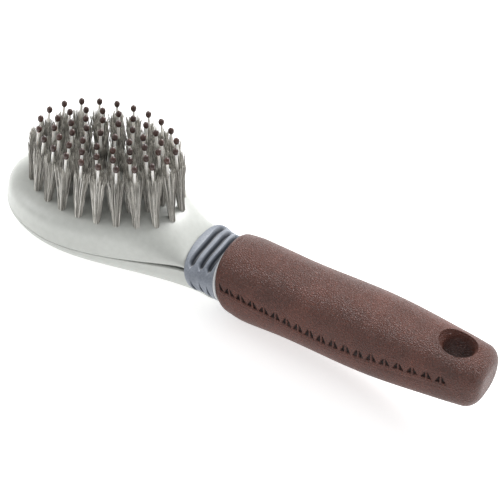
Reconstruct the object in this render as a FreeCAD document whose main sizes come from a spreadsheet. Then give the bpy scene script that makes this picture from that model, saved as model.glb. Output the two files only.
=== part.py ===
import FreeCAD, Part
import math
import os

# A horse grooming brush: a pale two-piece plastic head set with ball-tipped nylon pins, each one
# standing in a tuft of crimped bristle, a ribbed soft collar at the neck and a rubber grip with a
# hanging hole.
#
# Frame: millimetres, X along the handle with +X towards the hanging hole, Y across, +Z the way
# the pins point.  Z = 0 is the lowest point of the grip, and X = Y = 0 is the middle of the brush.

Vector = FreeCAD.Vector

doc = FreeCAD.newDocument("grooming_brush")
sheet = doc.addObject("Spreadsheet::Sheet", "sizes")

SIZES = [
    # the whole brush
    ("overall_length", 207.4, "nose of the head to the tail of the grip"),
    ("axis_height", 15.2, "handle axis above the lowest point"),
    # head outline, seen from above
    ("head_length", 87.7, "nose to the middle of the collar's face"),
    ("head_width", 58.8, "widest"),
    ("widest_from_nose", 33.5, "station of the greatest width"),
    ("neck_width", 28.6, "head where it meets the collar"),
    ("neck_straight", 3.2, "even part of the neck before the middle of the collar's face"),
    ("flank_front_pull", 18.0, "length of the flank curve's front handle"),
    ("flank_neck_pull", 7.3, "length of the flank curve's handle at the neck"),
    # head shells
    ("parting_height", 4.0, "joint between the shells above the handle axis"),
    ("deck_rise", 12.2, "deck above the joint at the field centre"),
    ("deck_rim", 10.0, "width of the rounded rim of the deck"),
    ("neck_round", 0.75, "rounded share of each shell's half width at the neck"),
    ("deck_tilt", 5.2, "deck to handle axis, degrees, higher towards the handle"),
    ("deck_thickness", 7.4, "plate that holds the tufts"),
    ("deck_wall", 2.6, "skirt of the deck"),
    ("neck_drop_start", 30.0, "deck starts to fall to the neck this far before the collar"),
    ("neck_drop", 15.2, "fall of the deck at the middle of the collar's face"),
    ("neck_thickness", 2.8, "least thickness of the deck where it falls"),
    ("back_depth", 9.6, "back shell below the joint at the field centre"),
    ("back_rim", 14.0, "width of the rounded rim of the back"),
    ("back_wall", 2.4, "wall of the back shell"),
    ("lap_height", 2.0, "locating rib of the back shell inside the deck"),
    ("lap_thickness", 1.4, "thickness of that rib"),
    ("shell_gap", 0.1, "clearance between the shells"),
    # pins and tufts
    ("field_from_nose", 40.0, "centre of the pin field"),
    ("field_length", 56.4, "outer ring of pin tips, along the handle"),
    ("field_width", 41.2, "outer ring of pin tips, across"),
    ("ring_gap", 6.0, "from one ring of pins to the next"),
    ("row_pitch", 6.3, "pins of the centre row"),
    ("spread", 0.10, "how much wider the field is at the deck than at the tips"),
    ("pin_height", 24.0, "centre of a ball tip above the deck"),
    ("pin_diameter", 1.0, "nylon shaft"),
    ("tip_diameter", 2.4, "ball tip across"),
    ("tip_stretch", 1.25, "ball tip height over its width"),
    ("tuft_height", 18.5, "bristle above the deck"),
    ("tuft_root", 3.0, "tuft across where it leaves the deck"),
    ("tuft_top", 5.8, "tuft across at its top"),
    ("tuft_gap", 0.1, "clearance of a tuft in its hole and round its pin"),
    ("socket_depth", 5.4, "depth of a tuft hole"),
    ("anchor_height", 1.6, "flat wire anchor"),
    ("anchor_thickness", 0.4, "flat wire anchor"),
    # collar
    ("collar_length", 10.1, "flange face to the pale ring, on the axis"),
    ("flange_offset", 2.6, "middle of the flange above the handle axis"),
    ("mouth_offset", 0.9, "middle of the ring and grip mouth above the handle axis"),
    ("flange_lean", 32.0, "flange tips towards the nose, degrees"),
    ("mouth_lean", 18.0, "ring and grip mouth tip towards the nose, degrees"),
        ("flange_width", 35.8, "across the flange"),
    ("flange_height", 15.2, "height of the flange"),
    ("flange_land", 1.9, "thickness of the flange lip"),
    ("collar_end_width", 31.8, "collar where it meets the ring"),
    ("collar_end_height", 18.4, "collar where it meets the ring"),
    ("groove_count", 3.0, "crescent grooves on the upper side, and on the lower"),
    ("groove_depth", 2.0, "at the middle of a groove"),
    ("groove_tube", 1.1, "radius of the groove's round bottom"),
    ("groove_bend", 30.0, "radius of the groove seen along the handle"),
    ("ring_length", 1.4, "pale ring between collar and grip"),
    ("ring_step", 0.7, "ring stands proud of the collar's end"),
    # grip
    ("shoulder_width", 34.0, "front bulge of the grip"),
    ("shoulder_height", 30.4, "front bulge of the grip"),
    ("mouth_width", 33.2, "grip just before its front face"),
    ("mouth_height", 22.0, "grip just before its front face"),
    ("waist_width", 31.6, "thinnest place behind the shoulder"),
    ("waist_height", 28.2, "thinnest place behind the shoulder"),
    ("palm_width", 32.6, "swell under the palm"),
    ("palm_height", 28.6, "swell under the palm"),
    ("tail_width", 27.0, "grip at the hanging hole"),
    ("tail_height", 23.0, "grip at the hanging hole"),
    ("end_width", 21.0, "last section of the grip"),
    ("end_height", 17.6, "last section of the grip"),
    ("end_round", 5.0, "rounding of the tail"),
    ("mouth_round", 2.6, "rounding of the front edge"),
    ("hole_diameter", 12.2, "hanging hole"),
    ("hole_from_tail", 14.4, "axis of the hanging hole before the tail"),
    # core inside the handle
    ("core_width", 13.0, "bar inside the handle"),
    ("core_height", 8.0, "bar inside the handle"),
    ("eye_lining", 2.2, "rubber between the hanging hole and the core's eye"),
    ("eye_wall", 2.2, "wall of the core's eye"),
]

for row, (alias, value, note) in enumerate(SIZES, start=1):
    sheet.set("A%d" % row, alias.replace("_", " "))
    sheet.set("B%d" % row, repr(value))
    sheet.setAlias("B%d" % row, alias)
    sheet.set("C%d" % row, note)
doc.recompute()


def size(alias):
    """Value of one cell of the sheet."""
    return float(getattr(sheet, alias))


def bind(thing, **expressions):
    """Tie properties to the sheet; a name in braces stands for a cell."""
    for path, text in expressions.items():
        for alias, _, _ in SIZES:
            text = text.replace("{%s}" % alias, "sizes.%s" % alias)
        thing.setExpression(path.replace("__", "."), text)


def hidden(kind, name, **expressions):
    """A construction object that isn't written out."""
    thing = doc.addObject(kind, name)
    bind(thing, **expressions)
    return thing


def named(thing, label):
    """Mark an object as a sub-part of the brush."""
    thing.Label = label
    SUBPARTS.append(thing)
    return thing


SUBPARTS = []

# ---------------------------------------------------------------- stations along the handle
NOSE = -size("overall_length") / 2
TAIL = size("overall_length") / 2
NECK = NOSE + size("head_length")
WIDEST = NOSE + size("widest_from_nose")
NECK_START = NECK - size("neck_straight")
HEAD_END = NECK + size("flange_height") / 2
JOINT = size("axis_height") + size("parting_height")
FIELD_X = NOSE + size("field_from_nose")
TILT = math.radians(size("deck_tilt"))


def head_outline(wall, inward, share, height_at):
    """Closed outline of the head on the plane height_at(x), inside a wall and part of a rounded rim.

    inward is how far that part reaches in, and share is the same as a share of the whole rim.
    """
    half = size("head_width") / 2 - wall - inward
    neck = (size("neck_width") / 2 - wall) * (1 - size("neck_round") * share)
    reach = size("widest_from_nose") - wall - inward
    front_pull = size("flank_front_pull")
    neck_pull = size("flank_neck_pull")

    def at(x, y):
        return Vector(x, y, height_at(x))

    # a quarter ellipse as one rational curve, so that it can lie on a slanting plane
    def quarter(side):
        curve = Part.BezierCurve()
        curve.setPoles([at(WIDEST - reach, 0), at(WIDEST - reach, side * half), at(WIDEST, side * half)])
        curve.setWeight(2, math.sqrt(0.5))
        return curve.toShape()

    def flank(side):
        curve = Part.BezierCurve()
        curve.setPoles([at(WIDEST, side * half), at(WIDEST + front_pull, side * half),
                        at(NECK_START - neck_pull, side * neck), at(NECK_START, side * neck)])
        return curve.toShape()

    def straight(side):
        return Part.makeLine(at(NECK_START, side * neck), at(HEAD_END, side * neck))

    end = Part.makeLine(at(HEAD_END, neck), at(HEAD_END, -neck))
    return Part.Wire(Part.__sortEdges__([quarter(1), flank(1), straight(1), end, straight(-1), flank(-1),
                                         quarter(-1)]))


def head_shell(rim, height_of, wall=0.0, upright=0.0, steps=5):
    """Solid from the joint to the plane height_of(x), with an elliptical rim that is rim wide."""
    sections = []
    if upright:
        sections.append(head_outline(wall, 0, 0, lambda x: JOINT))
    for step in range(steps + 1):
        angle = math.pi / 2 * step / steps
        rise = upright + (1 - upright) * math.sin(angle)
        share = 1 - math.cos(angle)
        sections.append(head_outline(wall, rim * share, share,
                                     lambda x, f=rise: JOINT + f * (height_of(x) - JOINT)))
    return Part.makeLoft(sections, True, False)


def lip_box(near, far):
    """Block across the neck, square to the tipped face of the collar and from near to far behind it."""
    block = Part.makeBox(far - near, 2 * size("head_width"), 120, Vector(near, -size("head_width"), -60))
    block.Placement = FreeCAD.Placement(Vector(NECK, 0, size("axis_height") + size("flange_offset")),
                                        FreeCAD.Rotation(Vector(0, 1, 0), -size("flange_lean")))
    return block


def deck_plane(x):
    return JOINT + size("deck_rise") + math.tan(TILT) * (x - FIELD_X)


def back_plane(x):
    return JOINT - size("back_depth") - math.tan(TILT) * (x - FIELD_X)


def feature(name, shape):
    """A sub-part or tool whose shape comes from Part's functions."""
    thing = doc.addObject("Part::Feature", name)
    thing.Shape = shape
    return thing


# ---------------------------------------------------------------- pin field
# The rings are ellipses.  Their own frame has its origin on the deck at the field's centre and
# its Z axis square to the deck.
FIELD = FreeCAD.Placement(Vector(FIELD_X, 0, deck_plane(FIELD_X)),
                          FreeCAD.Rotation(Vector(0, 1, 0), -size("deck_tilt")))


def ring_points(half_length, half_width, count, on_axis):
    """Evenly spaced points of an ellipse, the first on the long axis or half a space from it."""
    fine = 3600
    walk = [0.0]
    for k in range(1, fine + 1):
        mid = 2 * math.pi * (k - 0.5) / fine
        speed = math.hypot(half_length * math.sin(mid), half_width * math.cos(mid))
        walk.append(walk[-1] + speed * 2 * math.pi / fine)
    start = 0.0 if on_axis else 0.5
    points = []
    k = 0
    for n in range(count):
        goal = walk[-1] * (n + start) / count
        while walk[k] < goal:
            k += 1
        angle = 2 * math.pi * k / fine
        points.append((half_length * math.cos(angle), half_width * math.sin(angle)))
    return points


def field_ring(number, count, on_axis):
    inward = number * size("ring_gap")
    return ring_points(size("field_length") / 2 - inward, size("field_width") / 2 - inward, count, on_axis)


RINGS = {
    "outer": field_ring(0, 22, False),
    "second": field_ring(1, 18, True),
    "third": field_ring(2, 12, True),
    "centre": [((n - 1.5) * size("row_pitch"), 0.0) for n in range(4)],
}


def lean(tip):
    """Placement of one pin: origin where it leaves the deck, Z along the pin."""
    wider = 1 + size("spread")
    root = Vector(tip[0] * wider, tip[1] * wider, 0)
    top = Vector(tip[0], tip[1], size("pin_height"))
    return FreeCAD.Placement(root, FreeCAD.Rotation(Vector(0, 0, 1), top - root)), (top - root).Length


def each_pin(points, make):
    """One solid for each pin of a ring, in the frame of the brush."""
    solids = []
    for tip in points:
        place, reach = lean(tip)
        solid = make(reach)
        solid.Placement = FIELD.multiply(place)
        solids.append(solid)
    return Part.makeCompound(solids)


def socket(reach):
    return Part.makeCylinder(size("tuft_root") / 2 + size("tuft_gap"), size("socket_depth") + size("deck_rim"),
                             Vector(0, 0, -size("socket_depth")))


def tip_seat(reach):
    """Distance from the deck to the underside of the ball tip."""
    return reach - size("tip_diameter") * size("tip_stretch") / 2 * 0.8


def pin(reach):
    foot = -size("socket_depth") + size("anchor_height")
    return Part.makeCylinder(size("pin_diameter") / 2, tip_seat(reach) - foot, Vector(0, 0, foot))


def ball(reach):
    """Egg-shaped bead that sits on the end of the pin and covers its last bit."""
    bead = Part.makeSphere(size("tip_diameter") / 2)
    stretch = FreeCAD.Matrix()
    stretch.scale(1, 1, size("tip_stretch"))
    bead = bead.transformGeometry(stretch)
    bead.translate(Vector(0, 0, reach))
    return Part.makeCompound([bead.cut(pin(reach))]).Solids[0]


def tuft(reach):
    foot = -size("socket_depth") + size("anchor_height")
    root = Part.makeCylinder(size("tuft_root") / 2, -foot, Vector(0, 0, foot))
    flare = Part.makeCone(size("tuft_root") / 2, size("tuft_top") / 2, size("tuft_height"))
    bore = Part.makeCylinder(size("pin_diameter") / 2 + size("tuft_gap"), size("tuft_height") - foot + 1,
                             Vector(0, 0, foot))
    return root.fuse(flare).removeSplitter().cut(bore).Solids[0]


def anchor(reach):
    """Flat wire across the bottom of the hole."""
    wide = size("tuft_root") * 0.9
    thick = size("anchor_thickness")
    return Part.makeBox(wide, thick, size("anchor_height"), Vector(-wide / 2, -thick / 2, -size("socket_depth")))


for ring_name, points in RINGS.items():
    named(feature("pins_" + ring_name, each_pin(points, pin)), ring_name + "_pins")
    named(feature("tips_" + ring_name, each_pin(points, ball)), ring_name + "_pin_tips")
    named(feature("tufts_" + ring_name, each_pin(points, tuft)), ring_name + "_tufts")
    named(feature("anchors_" + ring_name, each_pin(points, anchor)), ring_name + "_tuft_anchors")

# ---------------------------------------------------------------- bristle deck
deck_outside = head_shell(size("deck_rim"), deck_plane, upright=0.12)
deck_inside = head_shell(size("deck_rim"), lambda x: deck_plane(x) - size("deck_thickness"),
                         wall=size("deck_wall"))
drop_start = NECK - size("neck_drop_start")
run = size("neck_drop_start") + 2
fall = size("neck_drop") * (run / size("neck_drop_start")) ** 2
drop_curve = Part.BezierCurve()
drop_curve.setPoles([Vector(drop_start, 0, deck_plane(drop_start)),
                     Vector(drop_start + run / 2, 0, deck_plane(drop_start + run / 2)),
                     Vector(NECK + 2, 0, deck_plane(NECK + 2) - fall)])
above = [drop_curve.toShape(),
         Part.makeLine(Vector(NECK + 2, 0, deck_plane(NECK + 2) - fall), Vector(NECK + 2, 0, JOINT + 60)),
         Part.makeLine(Vector(NECK + 2, 0, JOINT + 60), Vector(drop_start, 0, JOINT + 60)),
         Part.makeLine(Vector(drop_start, 0, JOINT + 60), Vector(drop_start, 0, deck_plane(drop_start)))]
neck_cut = Part.Face(Part.Wire(above)).extrude(Vector(0, 2 * size("head_width"), 0))
neck_cut.translate(Vector(0, -size("head_width"), 0))

behind = lip_box(0, size("head_length"))
end_wall = lip_box(-size("deck_wall"), size("head_length"))
hollow_cut = neck_cut.translated(Vector(0, 0, -size("neck_thickness")))
deck_blank = feature("deck_blank", deck_outside.cut(neck_cut).cut(behind))
deck_hollow = feature("deck_hollow", deck_inside.cut(end_wall).cut(hollow_cut))
sockets = feature("sockets", Part.makeCompound(
    [solid for points in RINGS.values() for solid in each_pin(points, socket).Solids]))
deck_shell = hidden("Part::Cut", "deck_shell")
deck_shell.Base = deck_blank
deck_shell.Tool = deck_hollow
deck = hidden("Part::Cut", "deck")
deck.Base = deck_shell
deck.Tool = sockets
named(deck, "bristle_deck")

# ---------------------------------------------------------------- handle frame: back shell and core
back_outside = head_shell(size("back_rim"), back_plane)
back_inside = head_shell(size("back_rim"), lambda x: back_plane(x) + size("back_wall"), wall=size("back_wall"))
lap_out = size("deck_wall") + size("shell_gap")
lap_in = lap_out + size("lap_thickness")


def rib_prism(inset, low, high):
    """Straight block of the inset outline between two heights over the joint."""
    face = Part.Face(head_outline(inset, 0, 0, lambda x: JOINT + low))
    return face.extrude(Vector(0, 0, high - low))


rib_low = -size("back_wall")
lap_rib = rib_prism(lap_out, rib_low, size("lap_height")).cut(rib_prism(lap_in, rib_low, size("lap_height")))
lap_rib = lap_rib.cut(lip_box(-2 * size("deck_wall"), size("head_length")))
back_shell = back_outside.cut(back_inside.cut(end_wall)).cut(behind)
rib_room = rib_prism(lap_out, 0, size("lap_height"))
back = feature("back_shell", back_shell.fuse(lap_rib.common(back_outside.fuse(rib_room))))

bar = hidden("Part::Box", "core_bar",
             Length="{overall_length} - {head_length} + {deck_wall} - {hole_from_tail}",
             Width="{core_width}", Height="{core_height}",
             Placement__Base__x="{head_length} - {overall_length} / 2 - {deck_wall}",
             Placement__Base__y="-{core_width} / 2",
             Placement__Base__z="{axis_height} - {core_height} / 2")


def post(name, radius, height, middle):
    """Upright cylinder on the axis of the hanging hole."""
    return hidden("Part::Cylinder", name, Radius=radius, Height=height,
                  Placement__Base__x="{overall_length} / 2 - {hole_from_tail}",
                  Placement__Base__z="%s - (%s) / 2" % (middle, height))


eye_outer = post("eye_outer", "{hole_diameter} / 2 + {eye_lining} + {eye_wall}", "{core_height}", "{axis_height}")
eye_inner = post("eye_inner", "{hole_diameter} / 2 + {eye_lining}", "{core_height} * 2", "{axis_height}")


def fused(name, *things):
    thing = doc.addObject("Part::MultiFuse", name)
    thing.Shapes = list(things)
    return thing


def cut(name, base, tool):
    thing = doc.addObject("Part::Cut", name)
    thing.Base = base
    thing.Tool = tool
    return thing


core = cut("core", fused("core_blank", bar, eye_outer), eye_inner)
frame = named(fused("frame", back, core), "handle_frame")


# ---------------------------------------------------------------- soft collar, ring and grip
def section(name, station, width, height, middle):
    """Upright ellipse across the handle; station is its distance from the nose."""
    ring = doc.addObject("Part::Ellipse", name)
    ring.Placement.Rotation = FreeCAD.Rotation(Vector(1, 1, 1), 120)
    bind(ring, MajorRadius="(%s) / 2" % width, MinorRadius="(%s) / 2" % height,
         Placement__Base__x="%s - {overall_length} / 2" % station, Placement__Base__z=middle)
    return ring


def loft(name, sections):
    thing = doc.addObject("Part::Loft", name)
    thing.Sections = sections
    thing.Solid = True
    thing.Ruled = False
    return thing


def rounded(name, base, radius, picks):
    """Fillet the edges that picks says yes to."""
    doc.recompute()
    edges = [n for n, edge in enumerate(base.Shape.Edges, start=1) if picks(edge)]
    thing = doc.addObject("Part::Fillet", name)
    thing.Base = base
    thing.Edges = [(n, radius, radius) for n in edges]
    return thing


def across(station):
    """Picks the edges that run round the handle near one station."""
    return lambda edge: abs(edge.BoundBox.Center.x - station) < 1 and edge.BoundBox.YLength > 15


def slab(name, station, middle, tip, thickness):
    """Thick plate square to a plane that is tipped towards the nose; the plane is its front face."""
    plate = hidden("Part::Box", name, Length=thickness, Width="{overall_length}", Height="{overall_length}",
                   Placement__Base__x="%s - {overall_length} / 2 * (1 - sin({%s} * 1deg))" % (station, tip),
                   Placement__Base__y="-{overall_length} / 2",
                   Placement__Base__z="%s - {overall_length} / 2 * cos({%s} * 1deg)" % (middle, tip))
    plate.Placement.Rotation = FreeCAD.Rotation(Vector(0, 1, 0), -size(tip))
    return plate


def common(name, base, tool):
    thing = doc.addObject("Part::MultiCommon", name)
    thing.Shapes = [base, tool]
    return thing


COLLAR_FRONT = "{head_length}"
COLLAR_BACK = "{head_length} + {collar_length}"
GRIP_FRONT = "{head_length} + {collar_length} + {ring_length}"
FLANGE_MIDDLE = "{axis_height} + {flange_offset}"
MOUTH_MIDDLE = "{axis_height} + {mouth_offset}"
LEAD = "{flange_height} / 2 * tan({flange_lean} * 1deg)"

# upright bodies, cut to the tipped faces afterwards
collar_body = loft("collar_body", [
    section("flange_front", COLLAR_FRONT + " - " + LEAD, "{flange_width}", "{flange_height}", FLANGE_MIDDLE),
    section("flange_middle", COLLAR_FRONT + " + {flange_land}", "{flange_width}", "{flange_height}",
            FLANGE_MIDDLE),
    section("collar_end", COLLAR_BACK, "{collar_end_width}", "{collar_end_height}", MOUTH_MIDDLE),
    section("collar_tail", GRIP_FRONT + " + " + LEAD, "{collar_end_width}", "{collar_end_height}",
            MOUTH_MIDDLE)])
collar_front = common("collar_front", collar_body, slab(
    "flange_plane", COLLAR_FRONT, FLANGE_MIDDLE, "flange_lean", "{overall_length}"))
collar_blank = cut("collar_blank", collar_front, slab(
    "collar_plane", COLLAR_BACK, MOUTH_MIDDLE, "mouth_lean", "{overall_length}"))

groove_tools = []
for number in range(int(size("groove_count"))):
    share = "((%s) / {groove_count})" % (number + 0.28)
    along = "({flange_land} + ({collar_length} - {flange_land}) * %s)" % share
    tip = "(({flange_lean} * (1 - %s) + {mouth_lean} * %s) * 1deg)" % (share, share)
    half = "({flange_height} * (1 - %s) + {collar_end_height} * %s) / 2 / cos(%s)" % (share, share, tip)
    for side in (1, -1):
        reach = "(%d * (%s - {groove_depth} - {groove_bend} + {groove_tube}))" % (side, half)
        groove = hidden("Part::Torus", "groove", Radius1="{groove_bend}", Radius2="{groove_tube}",
                        Placement__Base__x="{head_length} - {overall_length} / 2 + %s - %s * sin(%s)" % (
                            along, reach, tip),
                        Placement__Base__z="{axis_height} + {flange_offset} * (1 - %s) + {mouth_offset} * %s + %s * cos(%s)" % (
                            share, share, reach, tip))
        place = (number + 0.28) / size("groove_count")
        groove.Placement.Rotation = FreeCAD.Rotation(
            Vector(0, 1, 0), 90 - size("flange_lean") * (1 - place) - size("mouth_lean") * place)
        groove_tools.append(groove)
named(cut("collar_cut", cut("collar_grooved", collar_blank, fused("grooves", *groove_tools)), bar), "collar")

ring_width = "{collar_end_width} + 2 * {ring_step}"
ring_height = "{collar_end_height} + 2 * {ring_step}"
ring_body = loft("ring_body", [
    section("ring_front", COLLAR_FRONT, ring_width, ring_height, MOUTH_MIDDLE),
    section("ring_back", GRIP_FRONT + " + " + LEAD, ring_width, ring_height, MOUTH_MIDDLE)])
ring_blank = common("ring_blank", ring_body, slab(
    "ring_plane", COLLAR_BACK, MOUTH_MIDDLE, "mouth_lean", "{ring_length} * cos({mouth_lean} * 1deg)"))
named(cut("ring_cut", ring_blank, bar), "grip_ring")

grip_length = "({overall_length} - {head_length} - {collar_length} - {ring_length})"
grip_body = loft("grip_body", [
    section("mouth", GRIP_FRONT + " - " + LEAD, "{mouth_width}", "{mouth_height}", MOUTH_MIDDLE),
    section("shoulder", GRIP_FRONT + " + 0.10 * %s" % grip_length, "{shoulder_width}", "{shoulder_height}",
            "{axis_height}"),
    section("waist", GRIP_FRONT + " + 0.28 * %s" % grip_length, "{waist_width}", "{waist_height}",
            "{axis_height}"),
    section("palm", GRIP_FRONT + " + 0.58 * %s" % grip_length, "{palm_width}", "{palm_height}",
            "{axis_height}"),
    section("tail", "{overall_length} - {hole_from_tail}", "{tail_width}", "{tail_height}", "{axis_height}"),
    section("end", "{overall_length}", "{end_width}", "{end_height}", "{axis_height}")])
grip_blank = common("grip_blank", grip_body, slab(
    "mouth_plane", GRIP_FRONT, MOUTH_MIDDLE, "mouth_lean", "{overall_length}"))
hole = post("hanging_hole", "{hole_diameter} / 2", "{palm_height} * 2", "{axis_height}")
grip_mouth = rounded("grip_mouth", grip_blank, size("mouth_round"),
                     across(NECK + size("collar_length") + size("ring_length")))
grip_soft = rounded("grip_tail", grip_mouth, size("end_round"), across(TAIL))
grip_holed = cut("grip_holed", cut("grip_cored", grip_soft, core), hole)
named(grip_holed, "grip")

# ---------------------------------------------------------------- check and write
doc.recompute()
for thing in doc.Objects:
    if any(word in thing.State for word in ("Invalid", "Error")):
        raise RuntimeError("%s failed: %s" % (thing.Label, thing.State))
for thing in SUBPARTS:
    if thing.Shape.isNull() or not thing.Shape.isValid() or not thing.Shape.Solids:
        raise RuntimeError("%s has no valid shape" % thing.Label)

os.makedirs("parts", exist_ok=True)
for thing in SUBPARTS:
    shape = thing.Shape
    shape.exportStep("parts/%s.step" % thing.Label)
    box = shape.optimalBoundingBox(False)
    print("%-22s %3d solids %9.1f mm3  x %7.1f %7.1f  y %6.1f %6.1f  z %5.1f %5.1f" % (
        thing.Label, len(shape.Solids), shape.Volume, box.XMin, box.XMax, box.YMin, box.YMax,
        box.ZMin, box.ZMax))
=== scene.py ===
# %% [markdown]
# # A horse grooming brush
#
# The real brush has a pale plastic head in two shells.  White nylon pins with dark bead tips stand
# in it, each one in a tuft of crimped bristle.  A ribbed soft collar joins the head to a brown
# rubber grip, moulded to look like laced leather.
#
# The design comes from CAD as a fixed frame: sizes and places are read from it and never changed.
# This lesson keeps the CAD pins and beads and gives them a finish.  It models the shells, the
# collar, the grip and the bristle again as smooth, detailed meshes that stand for the plain nodes.

# %% Load the frame
import math
import random

import bmesh
import bpy
from mathutils import Matrix, Vector


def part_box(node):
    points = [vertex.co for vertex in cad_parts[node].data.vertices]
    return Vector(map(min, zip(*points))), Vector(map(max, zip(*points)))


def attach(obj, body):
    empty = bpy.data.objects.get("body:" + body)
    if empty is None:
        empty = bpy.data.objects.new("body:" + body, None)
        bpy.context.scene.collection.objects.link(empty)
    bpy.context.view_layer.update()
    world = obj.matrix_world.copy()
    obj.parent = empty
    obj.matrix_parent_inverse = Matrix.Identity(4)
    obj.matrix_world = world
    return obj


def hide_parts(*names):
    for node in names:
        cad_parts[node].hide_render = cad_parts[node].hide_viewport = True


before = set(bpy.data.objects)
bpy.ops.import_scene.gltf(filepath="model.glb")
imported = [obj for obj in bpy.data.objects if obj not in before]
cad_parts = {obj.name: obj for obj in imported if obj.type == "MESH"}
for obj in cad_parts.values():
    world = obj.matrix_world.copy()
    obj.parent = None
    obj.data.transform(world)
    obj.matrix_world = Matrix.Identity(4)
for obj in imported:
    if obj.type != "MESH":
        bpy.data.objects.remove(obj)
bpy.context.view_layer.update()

MM = 0.001

# %% [markdown]
# ## The camera
#
# A long thing is best shown from far away with a long lens, so the near end isn't drawn much larger
# than the far end.  The camera is set by the point it looks at, the way it
# looks, how far off it stands and how much it is tipped to one side.  Turning matrices multiplied
# in that order are easier to follow than three Euler angles.

# %% Camera
LOOK_AT = Vector((-0.0010, 0.0016, 0.0281))
AZIMUTH, ELEVATION, TIP = math.radians(21.8), math.radians(39.7), math.radians(8.75)
DISTANCE = 1.2
LENS = 224.6


def make_camera():
    """A long lens that looks at the middle of the brush from the front right."""
    data = bpy.data.cameras.new("camera")
    data.lens = LENS
    data.sensor_width = 36
    data.clip_end = 20
    camera = bpy.data.objects.new("camera", data)
    bpy.context.scene.collection.objects.link(camera)
    turn = (Matrix.Rotation(AZIMUTH, 4, "Z") @ Matrix.Rotation(math.pi / 2 - ELEVATION, 4, "X")
            @ Matrix.Rotation(TIP, 4, "Z"))
    camera.matrix_world = Matrix.Translation(LOOK_AT + turn @ Vector((0, 0, DISTANCE))) @ turn
    bpy.context.scene.camera = camera
    return camera


camera = make_camera()
print("camera at", [round(c, 3) for c in camera.matrix_world.translation])

# %% [markdown]
# ## Reading the frame
#
# Places start from the boxes of the CAD nodes.  The head runs from the nose to the collar, and the
# joint between its shells is the underside of the upper shell.  Ring and grip are built about half
# the height of the CAD ring, which lies 0.9 mm above the handle's axis.

# %% Places and sizes
deck_low, deck_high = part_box("bristle_deck")
ring_low, ring_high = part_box("grip_ring")
grip_low, grip_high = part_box("grip")

NOSE, NECK = deck_low.x, deck_high.x
JOINT = deck_low.z
HALF = deck_high.y
AXIS = (ring_low.z + ring_high.z) / 2
print("head in mm:", round((NECK - NOSE) / MM, 1), "by", round(2 * HALF / MM, 1))

# %% [markdown]
# ## Shared parts of the finishes
#
# An effect that comes back in several materials is a node group.  `uneven_colour` mixes two colours
# by two sizes of noise, for colour that isn't quite even.  `pebble_grain` is a height for the grip's
# Bump node.  Groups put out only values and colours, and the shader stays in each material.

# %% Node helpers
def new_material(name, colour, roughness, metallic=0.0):
    """A material whose plain numbers sit on the shader's own sockets."""
    material = bpy.data.materials.new(name)
    material.use_nodes = True
    shader = material.node_tree.nodes["Principled BSDF"]
    shader.inputs["Base Color"].default_value = (*colour, 1)
    shader.inputs["Roughness"].default_value = roughness
    shader.inputs["Metallic"].default_value = metallic
    return material, material.node_tree, shader


def add(tree, kind, **sockets):
    """A node with some of its input sockets set."""
    node = tree.nodes.new(kind)
    for name, value in sockets.items():
        node.inputs[name.replace("_", " ")].default_value = value
    return node


def new_group(name, inputs, outputs):
    """A node group with named inputs and outputs, each given with its kind."""
    group = bpy.data.node_groups.new(name, "ShaderNodeTree")
    for socket, kind in inputs:
        group.interface.new_socket(socket, in_out="INPUT", socket_type=kind)
    for socket, kind in outputs:
        group.interface.new_socket(socket, in_out="OUTPUT", socket_type=kind)
    return group, group.nodes.new("NodeGroupInput"), group.nodes.new("NodeGroupOutput")


def use_group(tree, group, **values):
    node = tree.nodes.new("ShaderNodeGroup")
    node.node_tree = group
    for name, value in values.items():
        node.inputs[name.replace("_", " ")].default_value = value
    return node


# %% Uneven colour
def make_uneven():
    """Two colours mixed by a coarse and a fine noise."""
    group, given, out = new_group(
        "uneven_colour",
        [("Dark", "NodeSocketColor"), ("Light", "NodeSocketColor"), ("Coarse", "NodeSocketFloat"),
         ("Fine", "NodeSocketFloat")],
        [("Colour", "NodeSocketColor")])
    place = add(group, "ShaderNodeTexCoord")
    coarse = add(group, "ShaderNodeTexNoise", Detail=3.0)
    fine = add(group, "ShaderNodeTexNoise", Detail=4.0, Roughness=0.6)
    both = group.nodes.new("ShaderNodeMath")
    both.operation = "ADD"
    spread = group.nodes.new("ShaderNodeMapRange")
    spread.inputs["From Min"].default_value = 0.7
    spread.inputs["From Max"].default_value = 1.3
    mix = group.nodes.new("ShaderNodeMix")
    mix.data_type = "RGBA"
    link = group.links.new
    link(place.outputs["Object"], coarse.inputs["Vector"])
    link(place.outputs["Object"], fine.inputs["Vector"])
    link(given.outputs["Coarse"], coarse.inputs["Scale"])
    link(given.outputs["Fine"], fine.inputs["Scale"])
    link(coarse.outputs["Fac"], both.inputs[0])
    link(fine.outputs["Fac"], both.inputs[1])
    link(both.outputs[0], spread.inputs["Value"])
    link(spread.outputs["Result"], mix.inputs["Factor"])
    link(given.outputs["Dark"], mix.inputs["A"])
    link(given.outputs["Light"], mix.inputs["B"])
    link(mix.outputs["Result"], out.inputs["Colour"])
    return group


UNEVEN = make_uneven()


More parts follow.
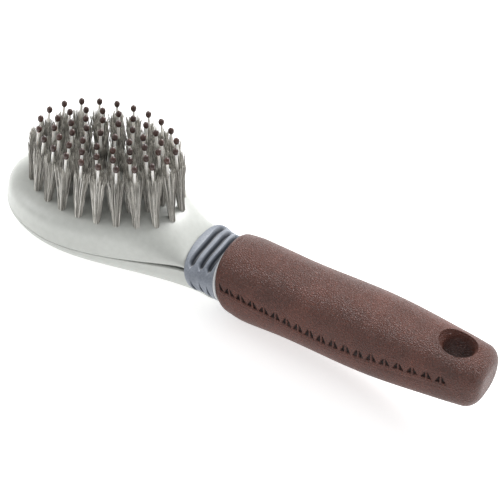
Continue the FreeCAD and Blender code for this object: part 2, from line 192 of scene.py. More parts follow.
# %% Leather grain
def make_grain():
    """Pebbled grain as a height: the edges of cells are creases, and a fine noise roughens them."""
    group, given, out = new_group(
        "pebble_grain", [("Scale", "NodeSocketFloat"), ("Creases", "NodeSocketFloat")],
        [("Height", "NodeSocketFloat")])
    place = add(group, "ShaderNodeTexCoord")
    cells = group.nodes.new("ShaderNodeTexVoronoi")
    cells.feature = "DISTANCE_TO_EDGE"
    warp = add(group, "ShaderNodeTexNoise", Scale=900.0, Detail=2.0)
    bend = group.nodes.new("ShaderNodeMix")
    bend.data_type = "VECTOR"
    bend.inputs["Factor"].default_value = 0.0012
    rise = group.nodes.new("ShaderNodeMapRange")
    rise.inputs["From Max"].default_value = 0.35
    fine = add(group, "ShaderNodeTexNoise", Scale=4200.0, Detail=3.0)
    total = group.nodes.new("ShaderNodeMath")
    total.operation = "MULTIPLY_ADD"
    link = group.links.new
    link(place.outputs["Object"], warp.inputs["Vector"])
    link(place.outputs["Object"], bend.inputs["A"])
    link(warp.outputs["Color"], bend.inputs["B"])
    link(bend.outputs["Result"], cells.inputs["Vector"])
    link(given.outputs["Scale"], cells.inputs["Scale"])
    link(cells.outputs["Distance"], rise.inputs["Value"])
    link(place.outputs["Object"], fine.inputs["Vector"])
    link(rise.outputs["Result"], total.inputs[0])
    link(given.outputs["Creases"], total.inputs[1])
    link(fine.outputs["Fac"], total.inputs[2])
    link(total.outputs[0], out.inputs["Height"])
    return group


GRAIN = make_grain()


def bump(tree, shader, height, strength, distance):
    node = add(tree, "ShaderNodeBump", Strength=strength, Distance=distance)
    tree.links.new(height, node.inputs["Height"])
    tree.links.new(node.outputs["Normal"], shader.inputs["Normal"])


# %% [markdown]
# ## Finishes
#
# Moulded plastic is never one flat colour: it has a faint cloudiness and a very fine skin.  The
# grip is the loudest finish.  Its base is a dark red-brown, the raised grain is painted paler, partly
# as wear and partly as painted highlight, and the creases are painted darker as painted shade.

# %% Materials
def head_plastic():
    material, tree, shader = new_material("head_plastic", (0.62, 0.63, 0.585), 0.38)
    shader.inputs["Coat Weight"].default_value = 0.15
    shader.inputs["Coat Roughness"].default_value = 0.2
    tone = use_group(tree, UNEVEN, Dark=(0.50, 0.515, 0.485, 1), Light=(0.57, 0.585, 0.555, 1),
                     Coarse=35.0, Fine=420.0)
    tree.links.new(tone.outputs["Colour"], shader.inputs["Base Color"])
    skin = add(tree, "ShaderNodeTexNoise", Scale=2600.0, Detail=2.0)
    place = tree.nodes.new("ShaderNodeTexCoord")
    tree.links.new(place.outputs["Object"], skin.inputs["Vector"])
    bump(tree, shader, skin.outputs["Fac"], 0.12, 0.00006)
    return material


def pin_nylon():
    material, tree, shader = new_material("pin_nylon", (0.9, 0.89, 0.86), 0.3)
    shader.inputs["Subsurface Weight"].default_value = 0.25
    shader.inputs["Subsurface Radius"].default_value = (0.0012, 0.0011, 0.001)
    shader.inputs["Subsurface Scale"].default_value = 0.5
    tone = use_group(tree, UNEVEN, Dark=(0.84, 0.83, 0.79, 1), Light=(0.94, 0.93, 0.9, 1),
                     Coarse=120.0, Fine=1500.0)
    tree.links.new(tone.outputs["Colour"], shader.inputs["Base Color"])
    return material


def tip_plastic():
    material, tree, shader = new_material("tip_plastic", (0.045, 0.02, 0.015), 0.32)
    shader.inputs["Coat Weight"].default_value = 0.4
    shader.inputs["Coat Roughness"].default_value = 0.15
    tone = use_group(tree, UNEVEN, Dark=(0.018, 0.007, 0.005, 1), Light=(0.085, 0.034, 0.024, 1),
                     Coarse=160.0, Fine=1800.0)
    tree.links.new(tone.outputs["Colour"], shader.inputs["Base Color"])
    return material


def anchor_steel():
    material, tree, shader = new_material("anchor_steel", (0.6, 0.58, 0.55), 0.35, 1.0)
    tone = use_group(tree, UNEVEN, Dark=(0.48, 0.46, 0.43, 1), Light=(0.66, 0.64, 0.61, 1),
                     Coarse=300.0, Fine=2500.0)
    tree.links.new(tone.outputs["Colour"], shader.inputs["Base Color"])
    return material


def bristle_fibre():
    """Bundles differ a little in tone, and the roots are painted darker than the ends as painted shade
    where the fibres pack together.
    """
    material, tree, shader = new_material("bristle_fibre", (0.3, 0.27, 0.235), 0.42)
    tone = tree.nodes.new("ShaderNodeAttribute")
    tone.attribute_name = "tone"
    ramp = tree.nodes.new("ShaderNodeValToRGB")
    marks = ramp.color_ramp.elements
    marks[0].position, marks[0].color = 0.0, (0.1, 0.092, 0.08, 1)
    marks[1].position, marks[1].color = 1.0, (0.95, 0.93, 0.88, 1)
    middle = marks.new(0.5)
    middle.color = (0.56, 0.54, 0.49, 1)
    tree.links.new(tone.outputs["Fac"], ramp.inputs["Fac"])
    tree.links.new(ramp.outputs["Color"], shader.inputs["Base Color"])
    return material


def collar_rubber():
    """The bottoms of the grooves are painted darker than the ribs, as painted shade in the recesses."""
    material, tree, shader = new_material("collar_rubber", (0.24, 0.27, 0.33), 0.4)
    tone = use_group(tree, UNEVEN, Dark=(0.16, 0.178, 0.215, 1), Light=(0.29, 0.315, 0.36, 1),
                     Coarse=90.0, Fine=1500.0)
    pressed = tree.nodes.new("ShaderNodeAttribute")
    pressed.attribute_name = "pressed"
    shade = tree.nodes.new("ShaderNodeMapRange")
    shade.inputs["From Min"].default_value = 0.05
    shade.inputs["From Max"].default_value = 0.6
    # painted shade: near-black is mixed in by how deep a point lies in a groove
    mix = tree.nodes.new("ShaderNodeMix")
    mix.data_type = "RGBA"
    mix.inputs["B"].default_value = (0.022, 0.026, 0.034, 1)
    tree.links.new(pressed.outputs["Fac"], shade.inputs["Value"])
    tree.links.new(shade.outputs["Result"], mix.inputs["Factor"])
    tree.links.new(tone.outputs["Colour"], mix.inputs["A"])
    tree.links.new(mix.outputs["Result"], shader.inputs["Base Color"])
    skin = add(tree, "ShaderNodeTexNoise", Scale=2200.0, Detail=3.0)
    place = tree.nodes.new("ShaderNodeTexCoord")
    tree.links.new(place.outputs["Object"], skin.inputs["Vector"])
    bump(tree, shader, skin.outputs["Fac"], 0.4, 0.00012)
    return material


def ring_plastic():
    material, tree, shader = new_material("ring_plastic", (0.55, 0.56, 0.57), 0.35)
    tone = use_group(tree, UNEVEN, Dark=(0.5, 0.51, 0.52, 1), Light=(0.62, 0.63, 0.64, 1),
                     Coarse=90.0, Fine=1200.0)
    tree.links.new(tone.outputs["Colour"], shader.inputs["Base Color"])
    return material


def grip_rubber():
    """Raised grain is painted paler than the creases, partly as wear and partly as painted highlight;
    creases and lacing carry painted shade.
    """
    material, tree, shader = new_material("grip_rubber", (0.1, 0.04, 0.028), 0.42)
    shader.inputs["Specular IOR Level"].default_value = 0.5
    grain = use_group(tree, GRAIN, Scale=1000.0, Creases=0.9)
    tone = use_group(tree, UNEVEN, Dark=(0.066, 0.019, 0.011, 1), Light=(0.14, 0.043, 0.027, 1),
                     Coarse=60.0, Fine=1300.0)
    # the grain height paints the raised grain paler (wear and painted highlight) and the creases darker
    # (painted shade)
    grain_painted_light_and_wear = tree.nodes.new("ShaderNodeMapRange")
    grain_painted_light_and_wear.inputs["From Min"].default_value = 0.5
    grain_painted_light_and_wear.inputs["From Max"].default_value = 1.5
    mix = tree.nodes.new("ShaderNodeMix")
    mix.data_type = "RGBA"
    mix.blend_type = "MULTIPLY"
    mix.inputs["Factor"].default_value = 1.0
    ramp = tree.nodes.new("ShaderNodeValToRGB")
    ramp.color_ramp.elements[0].color = (0.75, 0.72, 0.7, 1)
    ramp.color_ramp.elements[1].color = (1.25, 1.22, 1.2, 1)
    pressed = tree.nodes.new("ShaderNodeAttribute")
    pressed.attribute_name = "pressed"
    # painted shade: the pressed stitches of the lacing are mixed towards near-black
    deep = tree.nodes.new("ShaderNodeMix")
    deep.data_type = "RGBA"
    deep.inputs["B"].default_value = (0.012, 0.004, 0.003, 1)
    tree.links.new(pressed.outputs["Fac"], deep.inputs["Factor"])
    tree.links.new(grain.outputs["Height"], grain_painted_light_and_wear.inputs["Value"])
    tree.links.new(grain_painted_light_and_wear.outputs["Result"], ramp.inputs["Fac"])
    tree.links.new(tone.outputs["Colour"], mix.inputs["A"])
    tree.links.new(ramp.outputs["Color"], mix.inputs["B"])
    tree.links.new(mix.outputs["Result"], deep.inputs["A"])
    tree.links.new(deep.outputs["Result"], shader.inputs["Base Color"])
    bump(tree, shader, grain.outputs["Height"], 1.0, 0.00026)
    return material


HEAD, PIN, TIP_DARK, STEEL = head_plastic(), pin_nylon(), tip_plastic(), anchor_steel()
FIBRE, COLLAR, RING, GRIP = bristle_fibre(), collar_rubber(), ring_plastic(), grip_rubber()
print("materials:", len(bpy.data.materials))


# %% Finish the CAD nodes that stay
def finish_node(node, material):
    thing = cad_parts[node]
    thing.data.materials.clear()
    thing.data.materials.append(material)
    thing.data.shade_smooth()


RINGS = ("outer", "second", "third", "centre")
for ring in RINGS:
    finish_node(ring + "_pins", PIN)
    finish_node(ring + "_pin_tips", TIP_DARK)
    finish_node(ring + "_tuft_anchors", STEEL)


def new_piece(name, bm, material, stands_for):
    """Turn a bmesh into an object that rides on the brush and stands for its CAD node."""
    mesh = bpy.data.meshes.new(name)
    bm.to_mesh(mesh)
    bm.free()
    mesh.shade_smooth()
    piece = bpy.data.objects.new(name, mesh)
    bpy.context.scene.collection.objects.link(piece)
    mesh.materials.append(material)
    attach(piece, "root")
    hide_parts(stands_for)
    return piece


# %% [markdown]
# ## The head
#
# Both shells share one outline: half an ellipse at the nose and a flank that sweeps in to the neck.
# Nested outlines with a pole in the middle would pinch there.  Instead a flat grid is stretched over
# half the head: one way it runs along the rim from nose to neck, and the other way from the rim to
# the middle line.  Mirrored, it has no pole at all.

# %% Outline and height of the head
WIDEST = NOSE + 33.5 * MM
FIELD = NOSE + 40 * MM
HALF_NECK = 14.3 * MM
LIP = Vector((NOSE + 85.9 * MM, 0, JOINT - 1.2 * MM))
LIP_LEAN = math.tan(math.radians(32))
DECK_SLOPE = math.tan(math.radians(5.2))
DECK_RISE = 12.2 * MM
BACK_DEPTH = 9.6 * MM
NECK_FALL = 16.6 * MM
FALL_LENGTH = 30 * MM


def ease(x):
    x = min(max(x, 0.0), 1.0)
    return x * x * (3 - 2 * x)


def outline(t):
    """Point of the rim, t from 0 at the nose to 1 in the collar."""
    split, straight = 0.45, 0.93
    if t < split:
        angle = math.pi / 2 * t / split
        return WIDEST - (WIDEST - NOSE) * math.cos(angle), HALF * math.sin(angle)
    end = LIP.x - 1.4 * MM
    if t > straight:
        return end + (t - straight) / (1 - straight) * 3.6 * MM, HALF_NECK
    s = (t - split) / (straight - split)
    a, b, c, d = (1 - s) ** 3, 3 * s * (1 - s) ** 2, 3 * s * s * (1 - s), s ** 3
    x = a * WIDEST + b * (WIDEST + 18 * MM) + c * (end - 7.3 * MM) + d * end
    return x, (a + b) * HALF + (c + d) * HALF_NECK


def deck_height(x):
    """Middle line of the upper shell: a straight rise to the back of the field, then a drop to the neck."""
    late = max(0.0, x - LIP.x + FALL_LENGTH) / FALL_LENGTH
    return DECK_RISE + DECK_SLOPE * (x - FIELD) + 0.5 * MM * (1 - ease(late)) - NECK_FALL * late ** 2.1


def deck_crown(x):
    """Power of the crown: nearly flat over the field, a plain ellipse at the neck."""
    return 4.4 - 2.3 * ease((x - LIP.x + 42 * MM) / (40 * MM))


def back_height(x):
    return -(BACK_DEPTH + DECK_SLOPE * (x - FIELD))


def back_crown(x):
    return 2.1


def shell(name, height, power, lip, wall, stands_for):
    """Stretch a flat grid over half the head, mirror it, and give it an upright rim and a wall."""
    bm = bmesh.new()
    bmesh.ops.create_grid(bm, x_segments=96, y_segments=30, size=1)
    rim = set()
    for v in bm.verts:
        t, depth = (v.co.x + 1) / 2, (v.co.y + 1) / 2
        x, y = outline(t)
        share = depth ** 1.6
        focus = NOSE + 30 * MM
        here = x + (focus + (LIP.x - focus) * t - x) * share
        # near the collar the shell leans with the collar's face
        gap = lip * (1 + 1.3 * ease((t - 0.55) / 0.45))
        place = here
        for _ in range(4):
            rise = height(place) * (1 - (1 - share) ** power(place)) ** (1 / power(place))
            place = here - LIP_LEAN * (JOINT + gap + rise - LIP.z) * ease((t - 0.6) / 0.4)
        if depth < 0.001:
            rim.add(v)
        v.co = Vector((place, y * (1 - share), JOINT + gap + rise))
    edges = [e for e in bm.edges if e.verts[0] in rim and e.verts[1] in rim]
    made = bmesh.ops.extrude_edge_only(bm, edges=edges)["geom"]
    bmesh.ops.translate(bm, verts=[g for g in made if isinstance(g, bmesh.types.BMVert)],
                        vec=(0, 0, -lip * 0.85))
    bmesh.ops.mirror(bm, geom=bm.verts[:] + bm.edges[:] + bm.faces[:], axis="Y", merge_dist=1e-6)
    bmesh.ops.remove_doubles(bm, verts=bm.verts[:], dist=1e-6)
    bmesh.ops.recalc_face_normals(bm, faces=bm.faces[:])
    highest = max(bm.faces, key=lambda f: f.calc_center_median().z * (1 if lip > 0 else -1))
    if highest.normal.z * lip < 0:
        bmesh.ops.reverse_faces(bm, faces=bm.faces[:])
    piece = new_piece(name, bm, HEAD, stands_for)
    thick = piece.modifiers.new("wall", "SOLIDIFY")
    thick.thickness = wall
    thick.offset = -1
    return piece


deck_shell = shell("deck_shell", deck_height, deck_crown, 0.8 * MM, 2.0 * MM, "bristle_deck")
shell("back_shell", back_height, back_crown, -0.4 * MM, 1.8 * MM, "handle_frame")
print("deck", [round(c / MM, 1) for c in deck_shell.dimensions])

# %% [markdown]
# ## Collar, ring and grip
#
# All three are tubes along the handle.  A section is a rounded oval, and it tips: its top
# leans towards the nose, by 32 degrees at the collar's lip and by 18 at the mouth of the grip.  One
# helper wraps a grid into a tube.  Each piece says where its stations stand, how wide and high it is
# there, and how far the skin is pressed in at a point.

# %% Tube helpers
def profile(stations, x):
    """Smooth curve through (station, value) pairs."""
    if x <= stations[0][0]:
        return stations[0][1]
    for k in range(len(stations) - 1):
        (x0, a), (x1, b) = stations[k], stations[k + 1]
        if x <= x1:
            before = stations[max(k - 1, 0)]
            after = stations[min(k + 2, len(stations) - 1)]
            s = (x - x0) / (x1 - x0)
            slope_a = (b - before[1]) / (x1 - before[0]) * (x1 - x0)
            slope_b = (after[1] - a) / (after[0] - x0) * (x1 - x0)
            return ((2 * s ** 3 - 3 * s * s + 1) * a + (s ** 3 - 2 * s * s + s) * slope_a
                    + (3 * s * s - 2 * s ** 3) * b + (s ** 3 - s * s) * slope_b)
    return stations[-1][1]


def tube(place, along, around):
    """Grid wrapped into a tube: place(share along, share around) gives each point."""
    bm = bmesh.new()
    bmesh.ops.create_grid(bm, x_segments=along, y_segments=around, size=1)
    ends = [set(), set()]
    for v in bm.verts:
        share, turn = (v.co.x + 1) / 2, (v.co.y + 1) / 2
        if share < 1e-4:
            ends[0].add(v)
        elif share > 1 - 1e-4:
            ends[1].add(v)
        v.co = place(share, turn)
    for end in ends:
        edges = [e for e in bm.edges if e.verts[0] in end and e.verts[1] in end]
        made = bmesh.ops.extrude_edge_only(bm, edges=edges)["geom"]
        verts = [g for g in made if isinstance(g, bmesh.types.BMVert)]
        middle = sum((v.co for v in verts), Vector()) / len(verts)
        for v in verts:
            v.co = middle + (v.co - middle) * 0.7
        bmesh.ops.remove_doubles(bm, verts=bm.verts[:], dist=2e-6)
        # the other end is open too, so only edges near this one count
        rim = [e for e in bm.edges if e.is_boundary
               and all((v.co - middle).length < 40 * MM for v in e.verts)
               and all(abs((v.co - middle).x) < 12 * MM for v in e.verts)]
        bmesh.ops.edgeloop_fill(bm, edges=rim)
    bmesh.ops.recalc_face_normals(bm, faces=bm.faces[:])
    return bm


def oval(x, angle, half_y, half_z, middle, lean, square):
    """Point of a tipped, rounded oval; angle 0 is +Y, a quarter turn is up."""
    c, s = math.cos(angle), math.sin(angle)
    up = half_z * math.copysign(abs(s) ** (2 / square), s)
    side = half_y * math.copysign(abs(c) ** (2 / square), c)
    return Vector((x - lean * up, side, middle + up))


# %% [markdown]
# The collar is soft rubber with a lip that stands round the neck.  Three crescent grooves cross the
# upper side and run out to points on the flanks, and three more cross underneath.  The inside of a
# groove is painted darker than the ribs as painted shade, so each vertex also stores how deep it lies.

# %% Collar
MOUTH_LEAN = math.tan(math.radians(18))
MOUTH = LIP.x + 12.2 * MM
COLLAR_LENGTH = 11.5 * MM
GROOVES = (0.345, 0.635, 0.905)
GROOVE_DEPTH = 1.9 * MM
LIP_ROUND = 0.9 * MM
SQUARE = 2.2


def groove_depth(share, angle):
    """0 on the skin, 1 at the bottom of a groove."""
    up = math.sin(angle)
    bend = 0.13 * ease(abs(math.degrees(angle) - 90) / 62) if up > 0 else 0.13
    depth = 0.0
    for centre in GROOVES:
        for reach in (ease((up - 0.5) / 0.22), ease((0.2 - up) / 0.5) * 0.7):
            wide = 0.098 * reach
            off = abs(share - centre + bend)
            if wide > 0.004 and off < wide:
                depth = max(depth, min(1.0, (1 - (off / wide) ** 4) * 1.1) * min(1.0, reach * 1.5))
    return depth


def collar_section(share):
    """Station, half width, half height, middle and lean at a share of the collar."""
    land = ease((share - 0.14) / 0.3)
    half_y = (17.9 - 0.9 * land - 0.9 * share) * MM
    half_z = (7.6 - 0.3 * land + 1.9 * share) * MM
    lean = LIP_LEAN + (MOUTH_LEAN - LIP_LEAN) * share
    return LIP.x + COLLAR_LENGTH * share, half_y, half_z, LIP.z - 1.7 * MM * share, lean


def collar_point(share, turn):
    angle = 2 * math.pi * turn
    x, half_y, half_z, middle, lean = collar_section(share)
    edge = min(share * COLLAR_LENGTH, LIP_ROUND) / LIP_ROUND
    pressed = LIP_ROUND * (1 - math.sqrt(1 - (1 - edge) ** 2)) + GROOVE_DEPTH * groove_depth(share, angle)
    return oval(x, angle, half_y - pressed, half_z - pressed, middle, lean, SQUARE)


def store_depth(piece, measure):
    """Write a value per vertex that the finish reads."""
    depth = piece.data.attributes.new("pressed", "FLOAT", "POINT")
    for vertex, item in zip(piece.data.vertices, depth.data):
        item.value = measure(vertex.co)


def collar_measure(co):
    """How deep a point lies under the collar's skin."""
    share = (co.x - LIP.x + LIP_LEAN * (co.z - LIP.z)) / COLLAR_LENGTH
    for _ in range(4):
        x, half_y, half_z, middle, lean = collar_section(min(max(share, 0.0), 1.0))
        share = (co.x + lean * (co.z - middle) - LIP.x) / COLLAR_LENGTH
    x, half_y, half_z, middle, lean = collar_section(min(max(share, 0.0), 1.0))
    radius = (abs(co.y / half_y) ** SQUARE + abs((co.z - middle) / half_z) ** SQUARE) ** (1 / SQUARE)
    return min(1.0, max(0.0, (1 - radius) * half_z / GROOVE_DEPTH))


collar = new_piece("collar_ribbed", tube(collar_point, 170, 220), COLLAR, "collar")
store_depth(collar, collar_measure)
print("collar faces", len(collar.data.polygons))


# %% Ring
RING_LENGTH = 1.2 * MM


def ring_point(share, turn):
    bulge = math.sqrt(max(0.0, 1 - (2 * share - 1) ** 2)) * 0.5 * MM
    return oval(LIP.x + COLLAR_LENGTH + RING_LENGTH * share, 2 * math.pi * turn, 16.1 * MM + bulge,
                9.4 * MM + bulge, AXIS + 0.9 * MM, MOUTH_LEAN, SQUARE)


new_piece("ring_pale", tube(ring_point, 10, 120), RING, "grip_ring")

# %% [markdown]
# ## The grip
#
# The sleeve starts with a round shoulder, draws in, swells under the palm and thins to a squared
# tail.  The lacing on its flank is pressed into the rubber.  Each stitch is a little tent with a
# slanted strip left standing in the middle, and a raised seam runs along under the row.  The presses
# are real geometry, so the rows of the grid crowd together where the lacing runs.

# %% Grip
GRIP_LENGTH = grip_high.x - MOUTH
WIDTHS = [(0.0, 16.7), (0.035, 17.0), (0.085, 17.1), (0.27, 16.0), (0.58, 16.4), (0.865, 13.9),
          (1.0, 12.2)]
HEIGHTS = [(0.0, 12.4), (0.035, 13.4), (0.085, 14.4), (0.27, 14.3), (0.58, 14.3), (0.865, 11.9),
           (1.0, 10.2)]
LACE_LINE = [(0.0, 163), (0.1, 168), (0.2, 174), (0.4, 179), (0.6, 176), (0.8, 171), (1.0, 166)]
STITCHES = [(2.6 + 4.5 * k + 0.034 * k * k) * MM for k in range(19)]
TAIL_ROUND = 5.5 * MM
MOUTH_ROUND = 2.8 * MM
STITCH_DEPTH = 0.75 * MM
HOLE_FROM_TAIL = 14.4 * MM
HOLE_RADIUS = 6.1 * MM


def grip_middle(share):
    """Height of the sleeve's middle line, raised at its mouth."""
    return AXIS + 0.4 * MM * (1 - ease(share / 0.12))


def end_round(gap, radius):
    """How far a rounded end draws in, gap before the end."""
    if gap >= radius:
        return 0.0
    return radius - math.sqrt(max(0.0, radius * radius - (radius - gap) ** 2))


def stitch_depth(along, across, first):
    """0 on the skin, 1 inside one of the two triangles of a stitch."""
    slant = along + 0.2 * across
    roof = 1.55 * MM - 1.35 * max(0.0, abs(slant) - 0.3 * MM) - across
    inside = min(roof, across + 1.15 * MM, abs(slant) - 0.32 * MM)
    if first and slant < 0:
        inside = -1.0
    return ease(inside / (0.3 * MM))


def lacing(run, across):
    """Press depth at run along the grip and across above the middle of the lacing."""
    if abs(across) > 3 * MM:
        return 0.0
    depth = 0.0
    for number, station in enumerate(STITCHES):
        if abs(run - station) < 2.6 * MM:
            depth = max(depth, STITCH_DEPTH * stitch_depth(run - station, across, number == 0))
    ends = ease(run / (4 * MM)) * ease((STITCHES[-1] + 5 * MM - run) / (3 * MM))
    depth -= 0.26 * MM * ends * max(0.0, 1 - abs(across + 1.75 * MM) / (0.42 * MM))
    return depth + 0.12 * MM * ends * ease((-1.9 * MM - across) / (0.4 * MM)) * ease((across + 3 * MM) / MM)


def grip_point(share, turn):
    # stations crowd towards both ends, and rows towards the lacing
    share = share - 0.05 * math.sin(2 * math.pi * share)
    degrees = 150 + 42 * turn / 0.45 if turn < 0.45 else 192 + 318 * (turn - 0.45) / 0.55
    run = GRIP_LENGTH * share
    draw = end_round(run, MOUTH_ROUND) * 0.8 + end_round(GRIP_LENGTH - run, TAIL_ROUND)
    across = -math.radians(degrees - profile(LACE_LINE, share)) * profile(HEIGHTS, share) * MM
    draw += lacing(run, across)
    lean = MOUTH_LEAN * (1 - ease(share / 0.25))
    return oval(MOUTH + run, math.radians(degrees), profile(WIDTHS, share) * MM - draw,
                profile(HEIGHTS, share) * MM - draw, grip_middle(share), lean, 2.25 + 0.35 * share)


def cut_hole(piece, x, radius):
    """Cut a round hole with softly flared rims through a piece."""
    bm = bmesh.new()
    rings = []
    for step in range(41):
        z = (step - 20) / 20 * 20 * MM
        wide = radius + ease((abs(z) - 8.6 * MM) / (4.4 * MM)) * 2.2 * MM
        rings.append([bm.verts.new((x + wide * math.cos(a), wide * math.sin(a), AXIS + z))
                      for a in (2 * math.pi * k / 96 for k in range(96))])
    for low, high in zip(rings, rings[1:]):
        for k in range(96):
            bm.faces.new((low[k - 1], low[k], high[k], high[k - 1]))
    bm.faces.new(rings[0][::-1])
    bm.faces.new(rings[-1])
    bmesh.ops.recalc_face_normals(bm, faces=bm.faces[:])
    mesh = bpy.data.meshes.new("hole_tool")
    bm.to_mesh(mesh)
    bm.free()
    tool = bpy.data.objects.new("hole_tool", mesh)
    bpy.context.scene.collection.objects.link(tool)
    trim = piece.modifiers.new("hole", "BOOLEAN")
    trim.operation = "DIFFERENCE"
    trim.object = tool
    baked = bpy.data.meshes.new_from_object(piece.evaluated_get(bpy.context.evaluated_depsgraph_get()))
    piece.modifiers.clear()
    bpy.data.objects.remove(tool)
    old, piece.data = piece.data, baked
    bpy.data.meshes.remove(old)
    baked.name = piece.name


def grip_measure(co):
    """How deep a point of the sleeve lies in the lacing."""
    if co.y > 0:
        return 0.0
    run = co.x - MOUTH
    for _ in range(4):
        share = min(max(run / GRIP_LENGTH, 0.0), 1.0)
        run = co.x - MOUTH + MOUTH_LEAN * (1 - ease(share / 0.25)) * (co.z - AXIS)
    power = (2.25 + 0.35 * share) / 2
    up = (co.z - grip_middle(share)) / (profile(HEIGHTS, share) * MM)
    side = -co.y / (profile(WIDTHS, share) * MM)
    rise = math.degrees(math.atan2(math.copysign(abs(up) ** power, up), side ** power))
    across = math.radians(rise - 180 + profile(LACE_LINE, share)) * profile(HEIGHTS, share) * MM
    return min(1.0, max(0.0, lacing(run, across) / (0.7 * MM)))


grip = new_piece("grip_sleeve", tube(grip_point, 480, 124), GRIP, "grip")
cut_hole(grip, grip_high.x - HOLE_FROM_TAIL, HOLE_RADIUS)
store_depth(grip, grip_measure)
grip.data.set_sharp_from_angle(angle=math.radians(60))
print("grip triangles", sum(len(p.vertices) - 2 for p in grip.data.polygons))

# %% [markdown]
# ## Bristle
#
# Every tuft is a bundle of fibres folded over a flat wire in its hole.  Fibres leave the deck packed
# together and fan out, each with a slight wave.  A curve object draws them all as thin bevelled
# splines, and is made a mesh at the end.  Pins mark where the tufts stand.

# %% Where the pins stand
def pin_lines(node):
    """Foot and tip of every loose pin in a node."""
    bm = bmesh.new()
    bm.from_mesh(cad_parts[node].data)
    bmesh.ops.remove_doubles(bm, verts=bm.verts[:], dist=1e-6)
    left, lines = set(bm.verts), []
    while left:
        group, edge = set(), [left.pop()]
        while edge:
            v = edge.pop()
            group.add(v)
            for e in v.link_edges:
                w = e.other_vert(v)
                if w in left:
                    left.discard(w)
                    edge.append(w)
        low = min(v.co.z for v in group)
        high = max(v.co.z for v in group)
        foot = [v.co for v in group if v.co.z < low + 0.3 * MM]
        tip = [v.co for v in group if v.co.z > high - 0.3 * MM]
        lines.append((sum(foot, Vector()) / len(foot), sum(tip, Vector()) / len(tip)))
    bm.free()
    return sorted(lines, key=lambda line: (round(line[0].x, 4), line[0].y))


# %% Fibres
FIBRES = 125
FIBRE_RADIUS = 0.12 * MM
SUNK = 3.0 * MM
STEPS = 7
FIBRE_LENGTH = 18.2
ROOT_SPREAD, TOP_SPREAD = 1.38, 1.95


def tuft_fibres(curve, foot, tip, tones, rng):
    axis = (tip - foot).normalized()
    side = axis.cross(Vector((0, 1, 0))).normalized()
    other = axis.cross(side)
    start = foot + axis * (3.8 * MM - SUNK)
    tuft_tone = rng.uniform(-0.1, 0.1)
    droop = Vector((rng.gauss(0, 0.35), rng.gauss(0, 0.35), 0)) * MM
    for _ in range(FIBRES):
        radius = math.sqrt(rng.uniform(0.05, 1))
        angle = rng.uniform(0, 2 * math.pi)
        out = side * math.cos(angle) + other * math.sin(angle)
        length = (FIBRE_LENGTH + rng.gauss(0, 0.7)) * MM + SUNK
        fan = rng.uniform(0.8, 1.12) if rng.random() > 0.03 else rng.uniform(1.2, 1.6)
        turn = rng.uniform(0, 2 * math.pi)
        wave = rng.uniform(0.03, 0.11) * MM
        pitch = rng.uniform(5.0, 8.0) * MM
        spline = curve.splines.new("POLY")
        spline.points.add(STEPS)
        for k in range(STEPS + 1):
            s = k / STEPS
            along = length * s
            free = max(0.0, (along - SUNK) / (18 * MM))
            spread = (ROOT_SPREAD + TOP_SPREAD * fan * free ** 1.15) * MM
            phase = turn + 2 * math.pi * along / pitch
            shake = (side * math.cos(phase) + other * math.sin(phase)) * wave * min(1, s * 3)
            point = start + axis * along + out * radius * spread + shake + droop * free ** 2
            spline.points[k].co = (*point, 1)
            spline.points[k].radius = 1.0 if k < STEPS else 0.6
        tones.append(min(max(0.55 + tuft_tone + rng.gauss(0, 0.25), 0), 1))


def tuft_ring(ring, seed):
    rng = random.Random(seed)
    curve = bpy.data.curves.new(ring, "CURVE")
    curve.dimensions = "3D"
    curve.bevel_depth = FIBRE_RADIUS
    curve.bevel_resolution = 0
    curve.use_fill_caps = True
    tones = []
    for foot, tip in pin_lines(ring + "_pins"):
        tuft_fibres(curve, foot, tip, tones, rng)
    drawn = bpy.data.objects.new(ring, curve)
    bpy.context.scene.collection.objects.link(drawn)
    mesh = bpy.data.meshes.new_from_object(drawn.evaluated_get(bpy.context.evaluated_depsgraph_get()))
    bpy.data.objects.remove(drawn)
    mesh.name = ring + "_bristle"
    share = len(mesh.vertices) // len(tones)
    tone = mesh.attributes.new("tone", "FLOAT", "POINT")
    for k, item in enumerate(tone.data):
        rise = (k % share) * (STEPS + 1) // share / STEPS
        # painted shade: every fibre's random tone is darkened towards its root
        item.value = tones[k // share] * (0.25 + 0.75 * ease((rise - 0.08) / 0.5))
    piece = bpy.data.objects.new(ring + "_bristle", mesh)
    bpy.context.scene.collection.objects.link(piece)
    mesh.materials.clear()
    mesh.materials.append(FIBRE)
    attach(piece, "root")
    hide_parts(ring + "_tufts")
    triangles = sum(len(p.vertices) - 2 for p in mesh.polygons)
    print(ring, "fibres", len(tones), "triangles", triangles, "per fibre", share)


for number, ring_name in enumerate(RINGS):
    tuft_ring(ring_name, 11 + number)

# %% [markdown]
# ## Floor and light
#
# The brush lies on its back.  The floor is a large plane laid by the CAD's head and the lowest point
# of its grip.  Soft light comes from a bright surround, one
# large lamp above and behind, and a weaker one on the left.

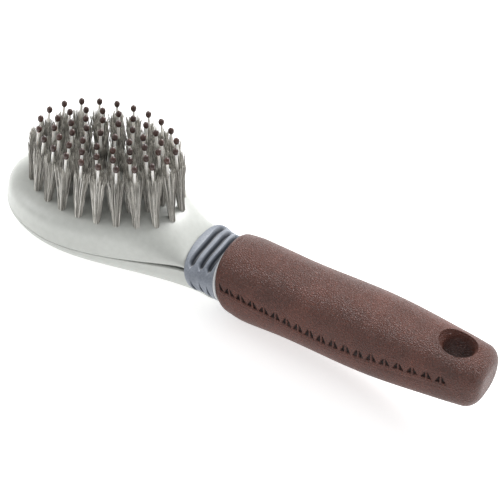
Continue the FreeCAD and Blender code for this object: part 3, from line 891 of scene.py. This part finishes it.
# %% Stage
def make_floor():
    bm = bmesh.new()
    bmesh.ops.create_grid(bm, x_segments=2, y_segments=2, size=6)
    front = Vector((NOSE + 20 * MM, 0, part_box("handle_frame")[0].z + 5.4 * MM))
    rear = Vector((grip_low.x + 8 * MM, 0, grip_low.z))
    slope = math.atan2(front.z - rear.z, rear.x - front.x)
    bmesh.ops.transform(bm, matrix=Matrix.Translation(rear) @ Matrix.Rotation(slope, 4, "Y"),
                        verts=bm.verts[:])
    mesh = bpy.data.meshes.new("floor")
    bm.to_mesh(mesh)
    bm.free()
    floor = bpy.data.objects.new("floor", mesh)
    bpy.context.scene.collection.objects.link(floor)
    material, _, shader = new_material("floor_white", (0.8, 0.8, 0.8), 0.9)
    shader.inputs["Specular IOR Level"].default_value = 0.1
    shader.inputs["Emission Color"].default_value = (1, 1, 1, 1)
    shader.inputs["Emission Strength"].default_value = 0.62
    mesh.materials.append(material)


def make_lamp(name, place, size, power):
    data = bpy.data.lights.new(name, "AREA")
    data.shape = "DISK"
    data.size = size
    data.energy = power
    lamp = bpy.data.objects.new(name, data)
    bpy.context.scene.collection.objects.link(lamp)
    lamp.location = place
    lamp.rotation_euler = (LOOK_AT - Vector(place)).to_track_quat("-Z", "Y").to_euler()


def make_surround():
    """A white background whose light on the brush is softer than it looks to the camera."""
    world = bpy.data.worlds.new("surround")
    bpy.context.scene.world = world
    world.use_nodes = True
    tree = world.node_tree
    sky = tree.nodes["Background"]
    sky.inputs["Color"].default_value = (1, 1, 1, 1)
    seen = tree.nodes.new("ShaderNodeLightPath")
    strength = tree.nodes.new("ShaderNodeMapRange")
    strength.inputs["To Min"].default_value = 0.55
    strength.inputs["To Max"].default_value = 1.0
    tree.links.new(seen.outputs["Is Camera Ray"], strength.inputs["Value"])
    tree.links.new(strength.outputs["Result"], sky.inputs["Strength"])


make_floor()
make_surround()
make_lamp("back_lamp", (0.1, 0.75, 0.75), 0.7, 15)
make_lamp("left_lamp", (-0.9, -0.1, 0.7), 0.6, 3)
bpy.context.scene.view_settings.view_transform = "Standard"
